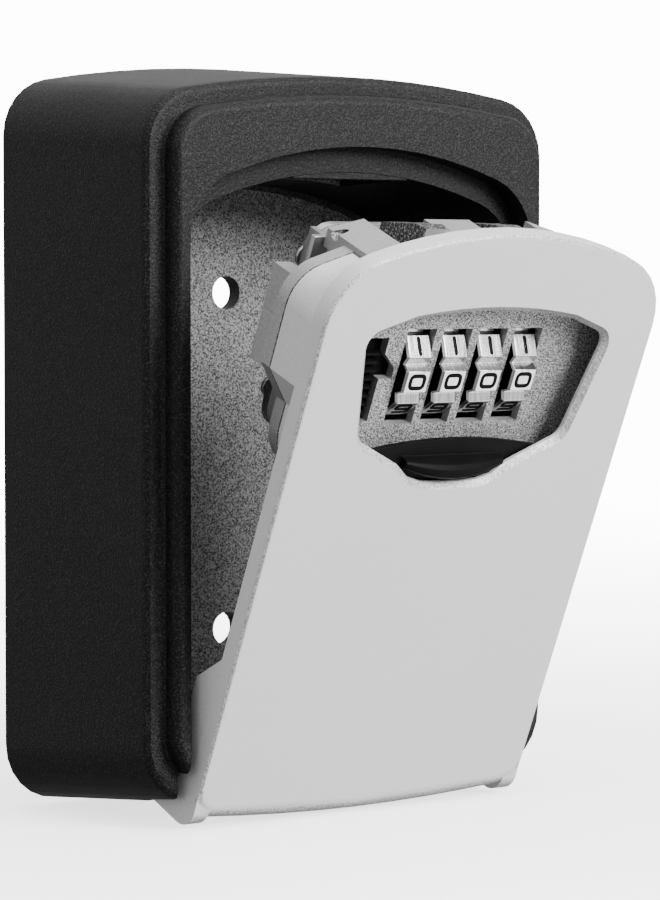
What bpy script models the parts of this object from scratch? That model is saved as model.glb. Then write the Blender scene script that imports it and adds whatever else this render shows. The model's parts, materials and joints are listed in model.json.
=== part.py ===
"""Wall-mounted key lock box with a four-wheel combination lock in its drop-down door.

Frame: +X is right as seen from the front, +Y runs back into the wall, +Z is up.
Heights are measured from the foot of the box and depths from its back face. An
empty carries everything down by half the height, so the origin ends up in the
middle of the back face, on the wall. Door pieces are modelled closed and hang from
an empty on the hinge axis, turned to the open position that the model rests in.
"""
import math

import bmesh
import bpy
from mathutils import Matrix, Vector

MM = 0.001

# ---- box ------------------------------------------------------------------
BOX_DEPTH = 41.0 * MM
BOX_HALF = 42.5 * MM
BOX_TOP = 120.0 * MM
FRAME_HEIGHT = 60.0 * MM
BOX_CROWN = 205.0 * MM
BOX_CORNER = 9.5 * MM
SHELL_HALF = 40.3 * MM
SHELL_TOP = 117.0 * MM
SHELL_BOTTOM = 3.2 * MM
SHELL_DEPTH = 36.0 * MM
SHOULDER_RADIUS = 1.5 * MM
PLATEAU_INSET = 3.2 * MM
PLATEAU_RADIUS = 1.5 * MM
BACK_WALL = 3.0 * MM

REBATE_HALF = 34.5 * MM
REBATE_TOP = 105.7 * MM
REBATE_DEPTH = 4.0 * MM
CAVITY_HALF = 34.1 * MM
CAVITY_TOP = 101.8 * MM
CAVITY_FLOOR = 5.2 * MM
CAVITY_DRAFT = 1.0 * MM
OPENING_CROWN = 80.0 * MM
OPENING_CORNER = 11.0 * MM
EAR_SLOT_HALF = 34.3 * MM
EAR_SLOT_TOP = 34.0 * MM
FLOOR_EDGE_Y = -25.1 * MM
STRIKE_HALF = 11.5 * MM
STRIKE_BOTTOM = 100.7 * MM
STRIKE_REAR_Y = -31.6 * MM
LUG_POCKET_HALF = 12.5 * MM
LUG_POCKET_TOP = 103.4 * MM
LUG_POCKET_REAR_Y = -18.0 * MM
WALL_HOLE_RADIUS = 2.8 * MM
WALL_HOLES = ((0.0, 82.5 * MM), (0.0, 26.0 * MM), (-22.0 * MM, 54.0 * MM), (22.0 * MM, 54.0 * MM))

# ---- door -----------------------------------------------------------------
HINGE_Y = -29.3 * MM
HINGE_Z = 7.6 * MM
DOOR_OPEN = math.radians(23.5)
DOOR_HALF = 33.0 * MM
DOOR_TOP = 103.9 * MM
DOOR_BOTTOM = 2.9 * MM
DOOR_CROWN = 76.0 * MM
DOOR_CORNER = 11.5 * MM
DOOR_BOW = 310.0 * MM
DOOR_BOTTOM_CORNER = 3.6 * MM
DOOR_TOE_RADIUS = 3.6 * MM
DOOR_RIM = 3.5 * MM
DOOR_SKIN = 1.4 * MM
DOOR_EDGE = 0.8 * MM
RIM_WIDTH = 2.4 * MM
EAR_THICKNESS = 3.0 * MM
PIN_RADIUS = 1.5 * MM
PIN_CLEARANCE = 0.3 * MM

# ---- lock housing, depths measured back from the door's front face ---------
HOUSING_HALF = 32.8 * MM
HOUSING_TOP = 100.2 * MM
HOUSING_CORNER = 7.0 * MM
HOUSING_WAIST_HALF = 28.0 * MM
HOUSING_WAIST_TOP = 78.0 * MM
HOUSING_WAIST_LOW = 72.0 * MM
HOUSING_BOTTOM = 60.5 * MM
SKIRT_WALL = 2.0 * MM
SKIRT_DEPTH = 10.0 * MM
PANEL_DEPTH = 4.9 * MM
PANEL_THICKNESS = 1.5 * MM
FLANGE_FRONT = 10.3 * MM
FLANGE_REAR = 13.0 * MM
REAR_BOX_HALF = 21.0 * MM
REAR_BOX_TOP = 96.0 * MM
REAR_BOX_BOTTOM = 61.5 * MM
REAR_BOX_REAR = 22.5 * MM
NOTCH_HALF = 23.0 * MM
NOTCH_FLOOR = 97.0 * MM
GUIDE_TOP = 99.2 * MM
GUIDE_CROWN_TOP = 100.8 * MM
GUIDE_SPANS = ((-22.6 * MM, -16.2 * MM), (-4.4 * MM, 4.6 * MM), (16.2 * MM, 22.6 * MM))
COVER_PLATE_THICKNESS = 1.2 * MM
RESET_X = 8.0 * MM
RESET_Z = 88.0 * MM
FIT_GAP = 0.3 * MM

# ---- dial train -------------------------------------------------------------
WHEEL_COUNT = 4
WHEEL_PITCH = 7.1 * MM
WHEEL_CENTRE_X = 0.85 * MM
WHEEL_WIDTH = 4.9 * MM
WHEEL_APOTHEM = 8.9 * MM
WHEEL_GROOVE_RADIUS = 8.05 * MM
WHEEL_BORE = 3.4 * MM
WHEEL_DEPTH = 11.9 * MM
WHEEL_Z = 78.4 * MM
DIGITS = 10
FACET_HALF_ANGLE = math.radians(11.0)
SLEEVE_RADIUS = 3.1 * MM
SHAFT_RADIUS = 1.5 * MM
SLOT_WIDTH = 5.6 * MM
SLOT_TOP = 86.4 * MM
SLOT_BOTTOM = 70.5 * MM

# ---- latch and thumb slider -------------------------------------------------
LATCH_TRAVEL = 2.2 * MM
LUG_WIDTH = 4.7 * MM
LUG_OFFSET = 7.7 * MM
LUG_FRONT = 10.0 * MM
LUG_REAR = 20.5 * MM
LUG_TOP = 100.6 * MM
LUG_REAR_TOP = 97.5 * MM
LATCH_BAR_HALF = 24.3 * MM
LATCH_BAR_LOW = 88.0 * MM
LATCH_BAR_HIGH = 90.2 * MM
LATCH_FRONT = 8.7 * MM
LATCH_REAR = 12.3 * MM
THUMB_SLOT_LEFT = -21.3 * MM
THUMB_SLOT_RIGHT = -15.9 * MM
THUMB_SLOT_LOW = 71.1 * MM
THUMB_SLOT_HIGH = 85.0 * MM
SPRING_X = 22.0 * MM
SPRING_RADIUS = 1.4 * MM
SPRING_WIRE = 0.3 * MM
SPRING_FLOOR = 76.5 * MM
SPRING_TURNS = 6

# ---- shutter ------------------------------------------------------------------
WINDOW_TOP = 91.3 * MM
WINDOW_CROWN = 88.0 * MM
SHUTTER_FRONT = 1.7 * MM
SHUTTER_THICKNESS = 1.0 * MM
SHUTTER_HALF = 24.4 * MM
SHUTTER_TOP = 69.2 * MM
SHUTTER_BOTTOM = 39.5 * MM
TAB_TOP = 66.6 * MM
TAB_HALF = 9.8 * MM
POCKET_HALF = 25.0 * MM
POCKET_BOTTOM = 38.6 * MM
POCKET_TOP = 93.0 * MM
RETAINER_HALF = 29.4 * MM
RETAINER_FRONT = 3.0 * MM
RETAINER_THICKNESS = 0.8 * MM
RETAINER_SCREW_X = 27.2 * MM
RETAINER_SCREW_Z = 47.0 * MM

ARC_STEPS = 6
BORE_SIDES = 20
SHARP_ANGLE = math.radians(32.0)


# ---- outlines, as (across, up) points running counter-clockwise -------------------
def arc(centre, radius, start, end, steps=ARC_STEPS):
    """Points on a circle from angle start to angle end, both in radians."""
    points = []
    for step in range(steps + 1):
        angle = start + (end - start) * step / steps
        points.append((centre[0] + radius * math.cos(angle), centre[1] + radius * math.sin(angle)))
    return points


def crowned_corner(half, edge, crown, corner):
    """Centre height of a corner arc that meets an upright side and a crowned edge."""
    crown_centre = edge - crown
    centre_x = half - corner
    centre_z = crown_centre + math.sqrt((crown - corner) ** 2 - centre_x ** 2)
    lean = math.atan2(centre_z - crown_centre, centre_x)
    return centre_x, centre_z, crown_centre, lean


def mirrored(right_half):
    """Close an outline from its right half, listed from the bottom to the top."""
    left_half = [(-x, z) for x, z in reversed(right_half) if abs(x) > 1e-7]
    return right_half + left_half


def crowned_outline(half, bottom, top, crown, corner, low_corner, bow=4.0):
    """A box outline with a crowned top, a bowed bottom and round corners."""
    x_low, z_low, bow_centre, bow_lean = crowned_corner(half, -bottom, bow, low_corner)
    x_high, z_high, crown_centre, lean = crowned_corner(half, top, crown, corner)
    right = arc((0.0, -bow_centre), bow, -math.pi / 2, -bow_lean, 4)[:-1]
    right += arc((x_low, -z_low), low_corner, -bow_lean, 0.0)
    right += arc((x_high, z_high), corner, 0.0, lean)
    right += arc((0.0, crown_centre), crown, lean, math.pi / 2, 5)[1:]
    return mirrored(right)


def box_outline(inset, y):
    """The box's outside at the plane y, drawn in by inset; it tapers to the front."""
    blend = min(-y / SHELL_DEPTH, 1.0)
    half = BOX_HALF + (SHELL_HALF - BOX_HALF) * blend - inset
    top = BOX_TOP + (SHELL_TOP - BOX_TOP) * blend - inset
    bottom = SHELL_BOTTOM * blend + inset
    corner = BOX_CORNER - 0.6 * inset
    return crowned_outline(half, bottom, top, BOX_CROWN - inset, corner, corner)


def door_outline(inset, lift=0.0):
    """The door plate's edge, drawn in by inset, with its foot raised by lift."""
    return crowned_outline(
        DOOR_HALF - inset, DOOR_BOTTOM + max(inset, lift), DOOR_TOP - inset, DOOR_CROWN - inset,
        DOOR_CORNER - inset, DOOR_BOTTOM_CORNER, DOOR_BOW)


def housing_outline(inset):
    """The lock housing's outline: full width above, a narrower waist below."""
    half = HOUSING_HALF - inset
    waist = HOUSING_WAIST_HALF - inset
    corner = HOUSING_CORNER - inset
    x_high, z_high, crown_centre, lean = crowned_corner(
        half, HOUSING_TOP - inset, DOOR_CROWN - inset, corner)
    right = [(0.0, HOUSING_BOTTOM + inset)]
    right += arc((waist - corner, HOUSING_BOTTOM + inset + corner), corner, -math.pi / 2, 0.0, 4)
    right.append((waist, HOUSING_WAIST_LOW + 0.4 * inset))
    right.append((half, HOUSING_WAIST_TOP + 0.4 * inset))
    right += arc((x_high, z_high), corner, 0.0, lean)
    right += arc((0.0, crown_centre), DOOR_CROWN - inset, lean, math.pi / 2, 5)[1:]
    return mirrored(right)


def window_outline(grow):
    """The shield-shaped dial window with a bay at its foot for the shutter's tab."""
    shoulder = (20.9 * MM, 85.4 * MM)
    hip = (17.6 * MM, 72.0 * MM)
    bay_half, bay_floor, bay_rise = 11.2 * MM, 62.3 * MM, 3.3 * MM
    right = []
    for step in range(5):
        across = step / 4
        right.append((bay_half * across + 0.4 * grow * across, bay_floor + bay_rise * across ** 4 - grow))
    right += arc(hip, 3.0 * MM + grow, -math.radians(68.0), -math.radians(12.0), 4)
    right += arc(shoulder, 2.5 * MM + grow, -math.radians(12.0), math.radians(75.0), 5)
    lean = math.atan2(WINDOW_CROWN, 16.0 * MM)
    right += arc((0.0, WINDOW_TOP - WINDOW_CROWN), WINDOW_CROWN + grow, lean, math.pi / 2, 4)
    return mirrored(right)


def rectangle(low, high):
    """A rectangular outline from its low corner to its high corner."""
    return [low, (high[0], low[1]), high, (low[0], high[1])]


def round_rectangle(low, high, radius, steps=4):
    """A rectangle with round corners."""
    right, left = high[0] - radius, low[0] + radius
    upper, lower = high[1] - radius, low[1] + radius
    quarter = math.pi / 2
    points = arc((right, lower), radius, -quarter, 0.0, steps)
    points += arc((right, upper), radius, 0.0, quarter, steps)
    points += arc((left, upper), radius, quarter, 2 * quarter, steps)
    points += arc((left, lower), radius, 2 * quarter, 3 * quarter, steps)
    return points


def circle(radius, sides=BORE_SIDES, centre=(0.0, 0.0)):
    """A regular outline round a centre."""
    return arc(centre, radius, 0.0, 2 * math.pi * (1 - 1 / sides), sides - 1)


# ---- solids ---------------------------------------------------------------------
def place(point, along, axis):
    """Turn an outline point into space: the outline lies across the given axis."""
    if axis == "x":
        return Vector((along, point[0], point[1]))
    if axis == "y":
        return Vector((point[0], along, point[1]))
    return Vector((point[0], point[1], along))


def make_object(name, mesh_builder, material):
    """Turn a bmesh into a named object with outward faces and smooth shading."""
    bmesh.ops.remove_doubles(mesh_builder, verts=mesh_builder.verts, dist=1e-7)
    bmesh.ops.recalc_face_normals(mesh_builder, faces=mesh_builder.faces)
    mesh = bpy.data.meshes.new(name)
    mesh_builder.to_mesh(mesh)
    mesh_builder.free()
    mesh.shade_smooth()
    mesh.set_sharp_from_angle(angle=SHARP_ANGLE)
    item = bpy.data.objects.new(name, mesh)
    bpy.context.scene.collection.objects.link(item)
    if material is not None:
        mesh.materials.append(material)
    return item


def loft(name, sections, material=None, axis="y"):
    """A closed solid through (along, outline) sections with equal point counts."""
    builder = bmesh.new()
    rings = []
    for along, outline in sections:
        rings.append([builder.verts.new(place(point, along, axis)) for point in outline])
    count = len(rings[0])
    for first, second in zip(rings, rings[1:]):
        for index in range(count):
            following = (index + 1) % count
            builder.faces.new((first[index], first[following], second[following], second[index]))
    builder.faces.new(list(reversed(rings[0])))
    builder.faces.new(rings[-1])
    return make_object(name, builder, material)


def prism(name, outline, start, end, material=None, axis="y", edge=0.0):
    """An extruded outline, with its end edges broken by edge where that isn't zero."""
    if edge <= 0.0:
        return loft(name, [(start, outline), (end, outline)], material, axis)
    inner = shrink(outline, edge)
    sections = [(start, inner), (start + edge, outline), (end - edge, outline), (end, inner)]
    return loft(name, sections, material, axis)


def shrink(outline, distance):
    """Draw a convex outline in by a distance along its corners' mitres."""
    count = len(outline)
    points = []
    for index in range(count):
        before = Vector(outline[index - 1])
        here = Vector(outline[index])
        after = Vector(outline[(index + 1) % count])
        first = (here - before).normalized()
        second = (after - here).normalized()
        inward = Vector((-first.y - second.y, first.x + second.x))
        scale = 2.0 * distance / max(inward.length_squared, 1e-9)
        moved = here + inward * scale
        points.append((moved.x, moved.y))
    return points


def block(name, low, high, material=None):
    """A rectangular block between two corners."""
    outline = rectangle((low[0], low[2]), (high[0], high[2]))
    return prism(name, outline, low[1], high[1], material)


def rod(name, centre, radius, start, end, axis, material=None, sides=BORE_SIDES):
    """A round bar along an axis; centre holds its two other coordinates."""
    return prism(name, circle(radius, sides, centre), start, end, material, axis)


def boolean(target, tool, operation):
    """Cut or join with another solid, which stays behind as a hidden guide."""
    tool.hide_render = True
    tool.display_type = "WIRE"
    modifier = target.modifiers.new(tool.name, "BOOLEAN")
    modifier.operation = operation
    modifier.solver = "EXACT"
    modifier.object = tool


def cut(target, *tools):
    """Take each tool's space out of the target."""
    for tool in tools:
        boolean(target, tool, "DIFFERENCE")


def weld(target, *tools):
    """Join each tool to the target as one solid."""
    for tool in tools:
        boolean(target, tool, "UNION")


def paint(name, colour, roughness, metallic):
    """A Principled material with one colour."""
    material = bpy.data.materials.new(name)
    material.use_nodes = True
    shader = material.node_tree.nodes["Principled BSDF"]
    shader.inputs["Base Color"].default_value = (*colour, 1.0)
    shader.inputs["Roughness"].default_value = roughness
    shader.inputs["Metallic"].default_value = metallic
    material.diffuse_color = (*colour, 1.0)
    return material


def at_depth(depth):
    """World Y of a point this far behind the closed door's front face."""
    return -BOX_DEPTH + depth


def wheel_x(index):
    """The middle of a number wheel along the dial shaft."""
    return WHEEL_CENTRE_X + (index - (WHEEL_COUNT - 1) / 2) * WHEEL_PITCH


# ---- the box ----------------------------------------------------------------------
def build_box(finish):
    """Die-cast back box: tapered shell, stepped front frame, key space and wall holes."""
    shoulder = arc((SHOULDER_RADIUS, SHELL_DEPTH), SHOULDER_RADIUS, math.pi, math.pi / 2, 3)
    plateau_front = (PLATEAU_INSET + PLATEAU_RADIUS, BOX_DEPTH - PLATEAU_RADIUS)
    lip = arc(plateau_front, PLATEAU_RADIUS, math.pi, math.pi / 2, 4)
    cove_floor = SHELL_DEPTH + SHOULDER_RADIUS
    profile = [(0.5 * MM, 0.0), (0.0, 0.5 * MM)] + shoulder
    profile += [(PLATEAU_INSET - 0.5 * MM, cove_floor), (PLATEAU_INSET, cove_floor + 0.5 * MM)] + lip
    sections = [(-depth, box_outline(inset, -depth)) for inset, depth in profile]
    box = loft("back_box", sections, finish)

    def opening(half, top, low, y, draw):
        return (y, crowned_outline(half - draw, low + draw, top - draw, OPENING_CROWN,
                                   OPENING_CORNER, 1.2 * MM))

    floor_under = -3.0 * MM
    ledge_y = -BOX_DEPTH + REBATE_DEPTH
    hollow = loft("cut_key_space", [
        opening(REBATE_HALF, REBATE_TOP, floor_under, -BOX_DEPTH - 2 * MM, 0.0),
        opening(REBATE_HALF, REBATE_TOP, floor_under, ledge_y, 0.0),
        opening(CAVITY_HALF, CAVITY_TOP, CAVITY_FLOOR, ledge_y + 0.05 * MM, 0.0),
        opening(CAVITY_HALF, CAVITY_TOP, CAVITY_FLOOR, -BACK_WALL - 1.2 * MM, CAVITY_DRAFT),
        opening(CAVITY_HALF, CAVITY_TOP, CAVITY_FLOOR, -BACK_WALL, CAVITY_DRAFT + 0.9 * MM)])
    ear_slot = block("cut_ear_slot", (-EAR_SLOT_HALF, ledge_y - 1 * MM, floor_under),
                     (EAR_SLOT_HALF, FLOOR_EDGE_Y, EAR_SLOT_TOP))
    strike = block("join_strike", (-STRIKE_HALF, ledge_y + 0.2 * MM, STRIKE_BOTTOM),
                   (STRIKE_HALF, STRIKE_REAR_Y, CAVITY_TOP + 1 * MM))
    lug_pocket = block("cut_lug_pocket", (-LUG_POCKET_HALF, STRIKE_REAR_Y, STRIKE_BOTTOM - 5 * MM),
                       (LUG_POCKET_HALF, LUG_POCKET_REAR_Y, LUG_POCKET_TOP))
    cut(box, hollow, ear_slot, lug_pocket)
    weld(box, strike)
    pin_centre = (HINGE_Y, HINGE_Z)
    for side in (-1, 1):
        reach = sorted((side * (EAR_SLOT_HALF - 1 * MM), side * (BOX_HALF - 4.5 * MM)))
        cut(box, rod(f"cut_pin_hole_{side}", pin_centre, PIN_RADIUS + PIN_CLEARANCE, *reach, "x"))
    for number, (x, z) in enumerate(WALL_HOLES):
        through = rod(f"cut_wall_hole_{number}", (x, z), WALL_HOLE_RADIUS,
                      -BACK_WALL - 1 * MM, 1 * MM, "y")
        cut(box, through)
    return box


# ---- the door ----------------------------------------------------------------------
def build_door_cover(finish):
    """Door plate with its rim, the lock housing's skirt, the dial window and hinge ears."""
    profile = arc((DOOR_EDGE, DOOR_EDGE), DOOR_EDGE, math.pi * 1.5, math.pi, 3)
    profile += [(0.0, 1.5 * MM), (0.0, 2.3 * MM), (0.0, DOOR_RIM - 0.3 * MM), (0.3 * MM, DOOR_RIM)]
    sections = []
    for inset, depth in profile:
        short = DOOR_TOE_RADIUS - depth
        lift = DOOR_TOE_RADIUS - math.sqrt(DOOR_TOE_RADIUS ** 2 - max(short, 0.0) ** 2)
        sections.append((at_depth(depth), door_outline(inset, lift)))
    cover = loft("door_cover", sections, finish)
    behind = at_depth(DOOR_RIM + 1 * MM)
    tray = prism("cut_door_tray", door_outline(RIM_WIDTH), at_depth(1.9 * MM), behind)
    skirt = prism("join_skirt", housing_outline(0.0), at_depth(1.7 * MM), at_depth(SKIRT_DEPTH))
    hollow = prism("cut_skirt", housing_outline(SKIRT_WALL), at_depth(2.0 * MM),
                   at_depth(SKIRT_DEPTH + 1 * MM))
    pocket_shape = round_rectangle((-POCKET_HALF, POCKET_BOTTOM), (POCKET_HALF, POCKET_TOP), 1.5 * MM)
    pocket = prism("cut_shutter_pocket", pocket_shape, at_depth(DOOR_SKIN), behind)
    window = loft("cut_window", [
        (at_depth(-1 * MM), window_outline(1.9 * MM)),
        (at_depth(0.9 * MM), window_outline(0.0)),
        (at_depth(2.5 * MM), window_outline(0.0))])
    cut(cover, tray)
    notch = block("cut_skirt_notch", (-NOTCH_HALF, at_depth(DOOR_RIM + 0.1 * MM), 93.4 * MM),
                  (NOTCH_HALF, at_depth(SKIRT_DEPTH + 1 * MM), DOOR_TOP + 2 * MM))
    weld(cover, skirt)
    for side in (-1, 1):
        weld(cover, rod(f"join_boss_{side}", (side * RETAINER_SCREW_X, RETAINER_SCREW_Z), 2.0 * MM,
                        at_depth(1.7 * MM), at_depth(RETAINER_FRONT - 0.2 * MM), "y"))
    cut(cover, hollow, pocket, window, notch)
    for side in (-1, 1):
        cut(cover, rod(f"cut_boss_{side}", (side * RETAINER_SCREW_X, RETAINER_SCREW_Z), 1.0 * MM,
                       at_depth(1.2 * MM), at_depth(RETAINER_FRONT), "y", sides=12))
    low, high, toe = DOOR_BOTTOM + 0.15 * MM, 32.0 * MM, DOOR_TOE_RADIUS
    ear_shape = arc((at_depth(toe + 0.3 * MM), low + toe), toe, math.pi, math.pi * 1.5)
    ear_shape += [
        (at_depth(13.6 * MM), low), (at_depth(14.2 * MM), low + 0.6 * MM),
        (at_depth(14.2 * MM), 12.0 * MM), (at_depth(8.2 * MM), 18.5 * MM),
        (at_depth(8.2 * MM), 26.5 * MM), (at_depth(3.4 * MM), high), (at_depth(1.6 * MM), high),
        (at_depth(0.9 * MM), high - 8 * MM)]
    for side in (-1, 1):
        outer = side * (DOOR_HALF - 0.15 * MM)
        inner = side * (DOOR_HALF - EAR_THICKNESS)
        reach = sorted((inner, outer))
        weld(cover, prism(f"join_ear_{side}", ear_shape, *reach, axis="x"))
        bore = sorted((inner - side * 1 * MM, outer + side * 1 * MM))
        cut(cover, rod(f"cut_ear_bore_{side}", (HINGE_Y, HINGE_Z), PIN_RADIUS + PIN_CLEARANCE,
                       *bore, "x"))
    return cover


def build_hinge_pin(side, name, finish):
    """Headless steel pin through a door ear into the box's cheek."""
    reach = sorted((side * (DOOR_HALF - EAR_THICKNESS - 0.7 * MM), side * (BOX_HALF - 5.0 * MM)))
    pin = rod(name, (0.0, 0.0), PIN_RADIUS, *reach, "x", finish, 16)
    pin.location = (0.0, HINGE_Y, HINGE_Z)
    return pin


def build_lock_case(finish):
    """Lock housing: dial panel, flange, rear box, lug guides and key post in one casting."""
    sections = [
        (at_depth(PANEL_DEPTH), housing_outline(SKIRT_WALL + 0.4 * MM)),
        (at_depth(FLANGE_FRONT - 0.05 * MM), housing_outline(SKIRT_WALL + 0.4 * MM)),
        (at_depth(FLANGE_FRONT), housing_outline(0.0)),
        (at_depth(FLANGE_REAR - 0.4 * MM), housing_outline(0.0)),
        (at_depth(FLANGE_REAR), housing_outline(0.4 * MM))]
    case = loft("lock_case", sections, finish)
    rear = prism("join_rear_box", round_rectangle(
        (-REAR_BOX_HALF, REAR_BOX_BOTTOM), (REAR_BOX_HALF, REAR_BOX_TOP), 4 * MM),
        at_depth(FLANGE_REAR - 1.5 * MM), at_depth(REAR_BOX_REAR))
    weld(case, rear)
    cut(case, block("cut_case_top", (-NOTCH_HALF - FIT_GAP, at_depth(PANEL_DEPTH - 1 * MM), NOTCH_FLOOR),
                    (NOTCH_HALF + FIT_GAP, at_depth(FLANGE_REAR + 1 * MM), DOOR_TOP)))
    for number, (left, right) in enumerate(GUIDE_SPANS):
        shape = [(left, 94.6 * MM), (right, 94.6 * MM), (right, guide_top(right)),
                 (left, guide_top(left))]
        weld(case, prism(f"join_guide_{number}", shape, at_depth(5.3 * MM), at_depth(17.5 * MM)))
    weld(case, block("join_key_post", (-30.6 * MM, at_depth(12.2 * MM), 77.6 * MM),
                     (-27.4 * MM, at_depth(18.0 * MM), 91.8 * MM)))
    weld(case, block("join_post_foot", (-31.8 * MM, at_depth(12.4 * MM), 76.8 * MM),
                     (-25.8 * MM, at_depth(16.4 * MM), 84.6 * MM)))
    inside_front = at_depth(PANEL_DEPTH + PANEL_THICKNESS)
    cut(case, block("cut_bar_space", (-25.0 * MM, inside_front, SPRING_FLOOR - 0.3 * MM),
                    (25.0 * MM, at_depth(FLANGE_REAR - 0.6 * MM), 92.9 * MM)))
    cut(case, block("cut_dial_space", (-18.0 * MM, inside_front - 0.02 * MM, 64.0 * MM),
                    (18.0 * MM, at_depth(REAR_BOX_REAR + 1 * MM), 93.5 * MM)))
    cut(case, block("cut_thumb_space", (-24.2 * MM, inside_front - 0.01 * MM, 65.2 * MM),
                    (-15.0 * MM, at_depth(12.5 * MM), 88.0 * MM)))
    front = at_depth(PANEL_DEPTH - 1 * MM)
    for index in range(WHEEL_COUNT):
        left = wheel_x(index) - SLOT_WIDTH / 2
        cut(case, block(f"cut_dial_slot_{index}", (left, front, SLOT_BOTTOM),
                        (left + SLOT_WIDTH, inside_front + 1 * MM, SLOT_TOP)))
    thumb = [(THUMB_SLOT_LEFT, THUMB_SLOT_LOW), (THUMB_SLOT_RIGHT, THUMB_SLOT_LOW),
             (THUMB_SLOT_RIGHT, 78.2 * MM), (-13.4 * MM, 78.2 * MM), (-13.4 * MM, 80.0 * MM),
             (THUMB_SLOT_RIGHT, 82.3 * MM), (THUMB_SLOT_RIGHT, THUMB_SLOT_HIGH),
             (THUMB_SLOT_LEFT, THUMB_SLOT_HIGH)]
    cut(case, prism("cut_thumb_slot", thumb, front, inside_front + 1 * MM))
    for side in (-1, 1):
        centre = side * LUG_OFFSET
        cut(case, block(f"cut_lug_slot_{side}", (centre - LUG_WIDTH / 2 - 0.4 * MM,
                                                 at_depth(LUG_FRONT - 0.4 * MM), 92.0 * MM),
                        (centre + LUG_WIDTH / 2 + 0.4 * MM, at_depth(LUG_REAR + 0.4 * MM),
                         104.0 * MM)))
    for number, (x, z) in enumerate(case_screw_places()):
        cut(case, rod(f"cut_case_screw_{number}", (x, z), 1.2 * MM, at_depth(17.0 * MM),
                      at_depth(REAR_BOX_REAR + 1 * MM), "y", sides=12))
    cut(case, rod("cut_guide_pin", (at_depth(15.4 * MM), 97.3 * MM), 0.9 * MM, -24.0 * MM,
                  -19.0 * MM, "x", sides=12))
    return case


def guide_top(x):
    """Height of a lug guide's top, which follows the crown of the box's opening."""
    return min(GUIDE_CROWN_TOP - x * x / (2 * OPENING_CROWN), GUIDE_TOP)


def case_screw_places():
    """Where the cover plate's four screws stand."""
    return [(x, z) for x in (-19.5 * MM, 19.5 * MM) for z in (68.0 * MM, 90.0 * MM)]


def build_case_back(finish):
    """Stamped steel plate that closes the lock housing from behind."""
    front = at_depth(REAR_BOX_REAR + FIT_GAP)
    shape = round_rectangle((-REAR_BOX_HALF, REAR_BOX_BOTTOM), (REAR_BOX_HALF, REAR_BOX_TOP), 4 * MM)
    plate = prism("case_back", shape, front, front + COVER_PLATE_THICKNESS, finish)
    for number, (x, z) in enumerate(case_screw_places()):
        cut(plate, rod(f"cut_plate_hole_{number}", (x, z), 1.3 * MM, front - 1 * MM,
                       front + 2 * COVER_PLATE_THICKNESS, "y", sides=12))
    cut(plate, rod("cut_reset_hole", (reset_pivot()[0], reset_pivot()[2]), 2.0 * MM, front - 1 * MM,
                   front + 2 * COVER_PLATE_THICKNESS, "y", sides=16))
    return plate


def screw(name, head_radius, head_height, shank_radius, shank_length, finish):
    """A pan-head screw whose head looks along +Y, made as one turned solid."""
    profile = [(shank_radius, -shank_length), (shank_radius, 0.0), (head_radius, 0.0),
               (head_radius, 0.5 * head_height), (0.75 * head_radius, head_height)]
    return loft(name, [(y, circle(radius, 12)) for radius, y in profile], finish)


def build_case_screws(finish):
    """The cover plate's four screws."""
    y = at_depth(REAR_BOX_REAR + 2 * FIT_GAP + COVER_PLATE_THICKNESS)
    screws = []
    for number, (x, z) in enumerate(case_screw_places()):
        item = screw(f"case_screw_{number + 1}", 1.9 * MM, 1.1 * MM, 0.9 * MM, 5.0 * MM, finish)
        item.location = (x, y, z)
        screws.append(item)
    return screws


# ---- dial train --------------------------------------------------------------------------
def wheel_outline(apothem, groove):
    """Ten flat digit faces with a V groove between neighbours."""
    points = []
    for digit in range(DIGITS):
        middle = 2 * math.pi * digit / DIGITS
        corner = apothem / math.cos(FACET_HALF_ANGLE)
        for angle in (-FACET_HALF_ANGLE, FACET_HALF_ANGLE):
            points.append((corner * math.cos(middle + angle), corner * math.sin(middle + angle)))
        valley = middle + math.pi / DIGITS
        points.append((groove * math.cos(valley), groove * math.sin(valley)))
    return points


def build_wheel(index, finish):
    """Number wheel about its own axis, which runs along X through its origin."""
    half = WHEEL_WIDTH / 2
    chamfer = 0.35 * MM
    inner = wheel_outline(WHEEL_APOTHEM - chamfer, WHEEL_GROOVE_RADIUS - chamfer)
    outer = wheel_outline(WHEEL_APOTHEM, WHEEL_GROOVE_RADIUS)
    wheel = loft(f"dial_wheel_{index + 1}", [
        (-half, inner), (-half + chamfer, outer), (half - chamfer, outer), (half, inner)],
        finish, "x")
    wheel.location = dial_axis(index)
    bore = rod(f"cut_wheel_bore_{index}", (0.0, 0.0), WHEEL_BORE, -WHEEL_WIDTH, WHEEL_WIDTH, "x")
    bore.location = dial_axis(index)
    cut(wheel, bore)
    return wheel


def dial_axis(index):
    """The centre of a wheel on the dial shaft, door closed."""
    return Vector((wheel_x(index), at_depth(WHEEL_DEPTH), WHEEL_Z))


def build_cam(index, finish):
    """Code sleeve inside a wheel: a tube with a gated flange beside the wheel."""
    half = WHEEL_WIDTH / 2
    sections = [(-half, SLEEVE_RADIUS), (half + FIT_GAP, SLEEVE_RADIUS),
                (half + FIT_GAP, 5.0 * MM), (half + 1.5 * MM, 5.0 * MM)]
    cam = loft(f"code_cam_{index + 1}", [(x, circle(radius)) for x, radius in sections],
               finish, "x")
    cam.location = dial_axis(index)
    bore = rod(f"cut_cam_bore_{index}", (0.0, 0.0), SHAFT_RADIUS + FIT_GAP, -2 * half, 2 * half,
               "x", sides=16)
    gate = block(f"cut_cam_gate_{index}", (half + 0.1 * MM, -1.0 * MM, 3.9 * MM),
                 (half + 3 * MM, 1.0 * MM, 7.0 * MM))
    for tool in (bore, gate):
        tool.location = dial_axis(index)
    cut(cam, bore, gate)
    return cam


def bracket_ears():
    """X spans of the dial bracket's two ears."""
    return (-14.7 * MM, -13.5 * MM), (16.2 * MM, 17.4 * MM)


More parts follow.
